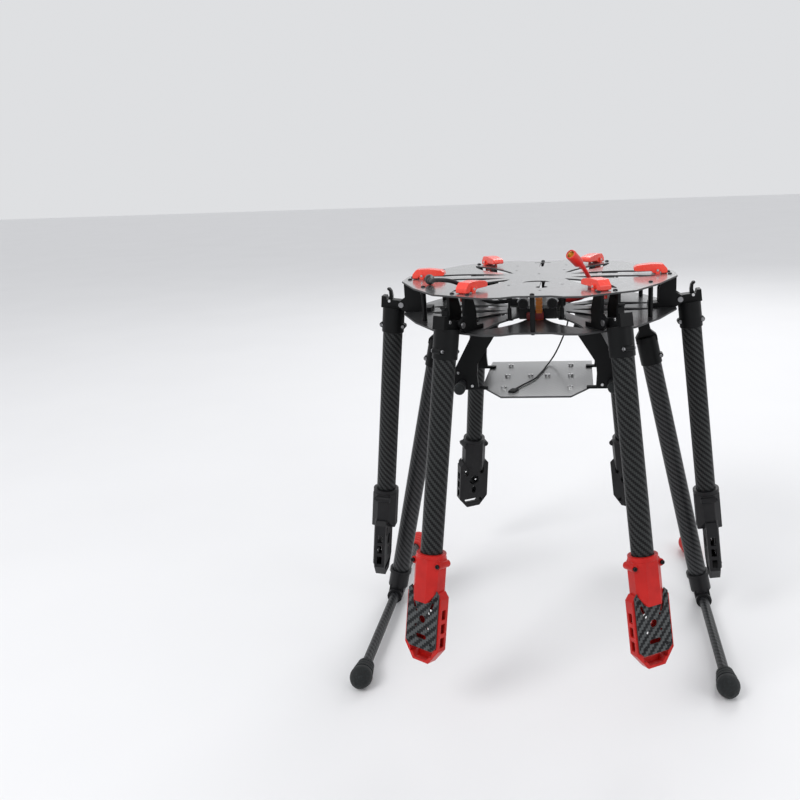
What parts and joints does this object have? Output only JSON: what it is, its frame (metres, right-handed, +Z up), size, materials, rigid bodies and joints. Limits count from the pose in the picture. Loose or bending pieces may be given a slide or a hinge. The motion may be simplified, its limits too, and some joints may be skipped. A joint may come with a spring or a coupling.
{
  "type": "folding hexacopter frame",
  "caption": "Hexacopter drone frame with hanging fold-down carbon arms, latches, retracting skid legs, battery tray and power leads.",
  "frame": {"origin": "on the ground under the middle of the two plates, standing on the four skid caps with the arms folded down", "axes": "+Z up, -Y to the front, where the two red motor mounts are"},
  "size_m": [0.4714, 0.476, 0.5238],
  "materials": {
    "carbon_plate": "glossy woven carbon sheet",
    "grey_carbon": "glossy carbon sheet that looks grey",
    "carbon_tube": "semi-gloss twill carbon tube",
    "black_anodised": "black anodised, satin",
    "black_nylon": "moulded, satin",
    "red_nylon": "moulded, satin red",
    "steel": "bright screws and pins",
    "black_rubber": "matt",
    "red_rubber": "matt red",
    "board": "black circuit board with coloured terminals",
    "red_silicone": "silicone wire",
    "black_silicone": "silicone wire",
    "red_sleeve": "red sleeve over a gold socket",
    "black_sleeve": "black sleeve over a gold socket",
    "cable_jacket": "thin flexible cable"
  },
  "bodies": {
    "frame": {"top_plate": "carbon_plate", "bottom_plate": "carbon_plate", "arm_brackets": "black_nylon", "hinge_pins": "steel", "standoffs": "black_anodised", "plate_screws": "steel", "power_board": "board", "retract_units": "black_anodised", "rail_hangers": "black_nylon", "rails": "carbon_tube", "rail_caps": "black_rubber", "battery_plate": "grey_carbon", "positive_lead": "red_silicone", "positive_plug": "red_sleeve", "negative_lead": "black_silicone", "negative_plug": "black_sleeve", "signal_cable": "cable_jacket", "signal_plug": "black_nylon"},
    "arm_right": {"arm_holder_right": "black_anodised", "arm_tube_right": "carbon_tube", "motor_mount_right": "black_nylon", "motor_plate_right": "carbon_plate"},
    "latch_right": {"latch_right": "red_nylon"},
    "arm_back_right": {"arm_holder_back_right": "black_anodised", "arm_tube_back_right": "carbon_tube", "motor_mount_back_right": "black_nylon", "motor_plate_back_right": "carbon_plate"},
    "latch_back_right": {"latch_back_right": "red_nylon"},
    "arm_back_left": {"arm_holder_back_left": "black_anodised", "arm_tube_back_left": "carbon_tube", "motor_mount_back_left": "black_nylon", "motor_plate_back_left": "carbon_plate"},
    "latch_back_left": {"latch_back_left": "red_nylon"},
    "arm_left": {"arm_holder_left": "black_anodised", "arm_tube_left": "carbon_tube", "motor_mount_left": "black_nylon", "motor_plate_left": "carbon_plate"},
    "latch_left": {"latch_left": "red_nylon"},
    "arm_front_left": {"arm_holder_front_left": "black_anodised", "arm_tube_front_left": "carbon_tube", "motor_mount_front_left": "red_nylon", "motor_plate_front_left": "carbon_plate"},
    "latch_front_left": {"latch_front_left": "red_nylon"},
    "arm_front_right": {"arm_holder_front_right": "black_anodised", "arm_tube_front_right": "carbon_tube", "motor_mount_front_right": "red_nylon", "motor_plate_front_right": "carbon_plate"},
    "latch_front_right": {"latch_front_right": "red_nylon"},
    "leg_left": {"leg_holder_left": "black_anodised", "leg_tube_left": "carbon_tube", "leg_tee_left": "black_nylon", "skid_pipe_left": "carbon_tube", "skid_cap_front_left": "black_rubber", "skid_cap_rear_left": "red_rubber"},
    "leg_right": {"leg_holder_right": "black_anodised", "leg_tube_right": "carbon_tube", "leg_tee_right": "black_nylon", "skid_pipe_right": "carbon_tube", "skid_cap_front_right": "black_rubber", "skid_cap_rear_right": "red_rubber"}
  },
  "joints": [
    {"name": "arm_fold_right", "type": "hinge", "parent": "frame", "child": "arm_right", "pos_m": [0.173, 0, 0.45], "axis": [0, -1, 0], "range_deg": [0, 88.5]},
    {"name": "latch_press_right", "type": "hinge", "parent": "frame", "child": "latch_right", "pos_m": [0.1455, 0, 0.4854], "axis": [0, -1, 0], "range_deg": [0, 6], "stiffness_Nm_per_rad": 0.05, "springref_deg": -8.59},
    {"name": "arm_fold_back_right", "type": "hinge", "parent": "frame", "child": "arm_back_right", "pos_m": [0.0865, 0.14982, 0.45], "axis": [0.866, -0.5, 0], "range_deg": [0, 84]},
    {"name": "latch_press_back_right", "type": "hinge", "parent": "frame", "child": "latch_back_right", "pos_m": [0.07275, 0.12601, 0.4854], "axis": [0.866, -0.5, 0], "range_deg": [0, 6], "stiffness_Nm_per_rad": 0.05, "springref_deg": -8.59},
    {"name": "arm_fold_back_left", "type": "hinge", "parent": "frame", "child": "arm_back_left", "pos_m": [-0.0865, 0.14982, 0.45], "axis": [0.866, 0.5, 0], "range_deg": [0, 84]},
    {"name": "latch_press_back_left", "type": "hinge", "parent": "frame", "child": "latch_back_left", "pos_m": [-0.07275, 0.12601, 0.4854], "axis": [0.866, 0.5, 0], "range_deg": [0, 6], "stiffness_Nm_per_rad": 0.05, "springref_deg": -8.59},
    {"name": "arm_fold_left", "type": "hinge", "parent": "frame", "child": "arm_left", "pos_m": [-0.173, 0, 0.45], "axis": [0, 1, 0], "range_deg": [0, 88.5]},
    {"name": "latch_press_left", "type": "hinge", "parent": "frame", "child": "latch_left", "pos_m": [-0.1455, 0, 0.4854], "axis": [0, 1, 0], "range_deg": [0, 6], "stiffness_Nm_per_rad": 0.05, "springref_deg": -8.59},
    {"name": "arm_fold_front_left", "type": "hinge", "parent": "frame", "child": "arm_front_left", "pos_m": [-0.0865, -0.14982, 0.45], "axis": [-0.866, 0.5, 0], "range_deg": [0, 84]},
    {"name": "latch_press_front_left", "type": "hinge", "parent": "frame", "child": "latch_front_left", "pos_m": [-0.07275, -0.12601, 0.4854], "axis": [-0.866, 0.5, 0], "range_deg": [0, 6], "stiffness_Nm_per_rad": 0.05, "springref_deg": -8.59},
    {"name": "arm_fold_front_right", "type": "hinge", "parent": "frame", "child": "arm_front_right", "pos_m": [0.0865, -0.14982, 0.45], "axis": [-0.866, -0.5, 0], "range_deg": [0, 84]},
    {"name": "latch_press_front_right", "type": "hinge", "parent": "frame", "child": "latch_front_right", "pos_m": [0.07275, -0.12601, 0.4854], "axis": [-0.866, -0.5, 0], "range_deg": [0, 6], "stiffness_Nm_per_rad": 0.05, "springref_deg": -8.59},
    {"name": "leg_retract_left", "type": "hinge", "parent": "frame", "child": "leg_left", "pos_m": [-0.1314, 0.052, 0.418], "axis": [0, 1, 0], "range_deg": [0, 70]},
    {"name": "leg_retract_right", "type": "hinge", "parent": "frame", "child": "leg_right", "pos_m": [0.1314, 0.052, 0.418], "axis": [0, -1, 0], "range_deg": [0, 70]}
  ],
  "couplings": [
    {"joint": "leg_retract_left", "follows": "leg_retract_right", "ratio": 1}
  ]
}
